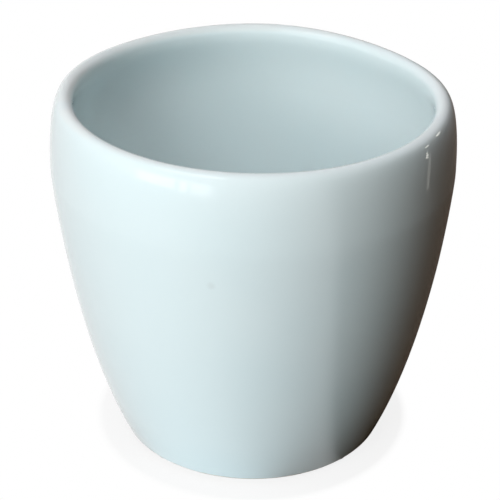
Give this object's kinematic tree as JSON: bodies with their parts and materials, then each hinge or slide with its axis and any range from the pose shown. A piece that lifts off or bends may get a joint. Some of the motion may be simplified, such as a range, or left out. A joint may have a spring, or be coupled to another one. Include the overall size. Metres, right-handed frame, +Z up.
{
  "type": "flower pot",
  "caption": "Round glazed ceramic flower pot with a shoulder that leans in to a rounded lip, a flat inner floor, and felt pads under its foot ring.",
  "frame": {"origin": "centre of the circle through the four felt pads, on the surface that the pot stands on", "axes": "+Z up along the axis of the pot, which is a body of revolution; +X and +Y run between the pads"},
  "size_m": [0.15, 0.15, 0.1381],
  "materials": {
    "white_glaze": "glossy cool white glaze",
    "grey_felt": "matte pressed felt"
  },
  "bodies": {
    "root": {"pot_body": "white_glaze", "foot_pad_1": "grey_felt", "foot_pad_2": "grey_felt", "foot_pad_3": "grey_felt", "foot_pad_4": "grey_felt"}
  },
  "joints": []
}
